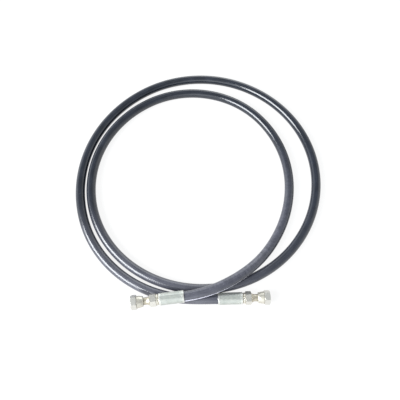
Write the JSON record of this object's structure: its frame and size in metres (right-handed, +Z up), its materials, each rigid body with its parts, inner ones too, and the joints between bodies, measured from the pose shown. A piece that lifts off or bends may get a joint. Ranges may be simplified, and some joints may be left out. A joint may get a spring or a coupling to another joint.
{
  "type": "hydraulic hose assembly",
  "caption": "Coiled wire-braided hydraulic hose with a crimped female swivel-nut fitting on each end; the nuts spin and slide and the free ends flex.",
  "frame": {"origin": "middle of the coil's footprint, on the floor it lies on", "axes": "+Z up out of the floor, through the middle of the coil; +X from fitting A towards fitting B; +Y from the fittings towards the far side of the coil"},
  "size_m": [0.5152, 0.5406, 0.0426],
  "materials": {
    "hose_cover": "glossy black rubber, faintly blue",
    "braid_wire": "brass-coated steel wire braid",
    "bonding_rubber": "matte",
    "inner_tube": "matte black nitrile",
    "ferrule_zinc": "zinc plated, cool silver",
    "stem_zinc": "zinc plated, faint yellow passivation",
    "nut_zinc": "zinc plated, faint yellow passivation",
    "spring_wire": "plain spring steel"
  },
  "bodies": {
    "coil": {"cover_coil": "hose_cover", "outer_braid_coil": "braid_wire", "middle_rubber_coil": "bonding_rubber", "inner_braid_coil": "braid_wire", "inner_tube_coil": "inner_tube"},
    "tail_a": {"cover_tail_a": "hose_cover", "outer_braid_tail_a": "braid_wire", "middle_rubber_tail_a": "bonding_rubber", "inner_braid_tail_a": "braid_wire", "inner_tube_tail_a": "inner_tube"},
    "end_a": {"cover_end_a": "hose_cover", "outer_braid_end_a": "braid_wire", "middle_rubber_end_a": "bonding_rubber", "inner_braid_end_a": "braid_wire", "inner_tube_end_a": "inner_tube", "ferrule_a": "ferrule_zinc", "stem_a": "stem_zinc"},
    "end_b": {"cover_end_b": "hose_cover", "outer_braid_end_b": "braid_wire", "middle_rubber_end_b": "bonding_rubber", "inner_braid_end_b": "braid_wire", "inner_tube_end_b": "inner_tube", "ferrule_b": "ferrule_zinc", "stem_b": "stem_zinc"},
    "ring_a": {"retaining_ring_a": "spring_wire"},
    "nut_a": {"swivel_nut_a": "nut_zinc"},
    "ring_b": {"retaining_ring_b": "spring_wire"},
    "nut_b": {"swivel_nut_b": "nut_zinc"}
  },
  "joints": [
    {"name": "a_lift", "type": "hinge", "parent": "coil", "child": "tail_a", "pos_m": [0.1616, -0.1135, 0.00955], "axis": [-0.8829, 0.4695, 0], "range_deg": [0, 12], "stiffness_Nm_per_rad": 12},
    {"name": "a_swing", "type": "hinge", "parent": "tail_a", "child": "end_a", "pos_m": [0.04179, -0.22569, 0.03065], "axis": [0, 0, 1], "range_deg": [-3, 25], "stiffness_Nm_per_rad": 8},
    {"name": "a_nut_slide", "type": "slide", "parent": "end_a", "child": "ring_a", "axis": [0.9927, 0.1208, 0], "range_m": [0, 0.0059]},
    {"name": "a_nut_spin", "type": "hinge", "parent": "ring_a", "child": "nut_a", "pos_m": [-0.10133, -0.25391, 0.03065], "axis": [-0.9927, -0.1208, 0], "continuous": true},
    {"name": "b_swing", "type": "hinge", "parent": "coil", "child": "end_b", "pos_m": [0.00845, -0.24677, 0.01077], "axis": [0, 0, -1], "range_deg": [0, 15], "stiffness_Nm_per_rad": 8},
    {"name": "b_nut_slide", "type": "slide", "parent": "end_b", "child": "ring_b", "axis": [-0.9995, -0.0304, 0], "range_m": [0, 0.0059]},
    {"name": "b_nut_spin", "type": "hinge", "parent": "ring_b", "child": "nut_b", "pos_m": [0.11165, -0.24415, 0.012], "axis": [0.9995, 0.0304, 0], "continuous": true}
  ]
}
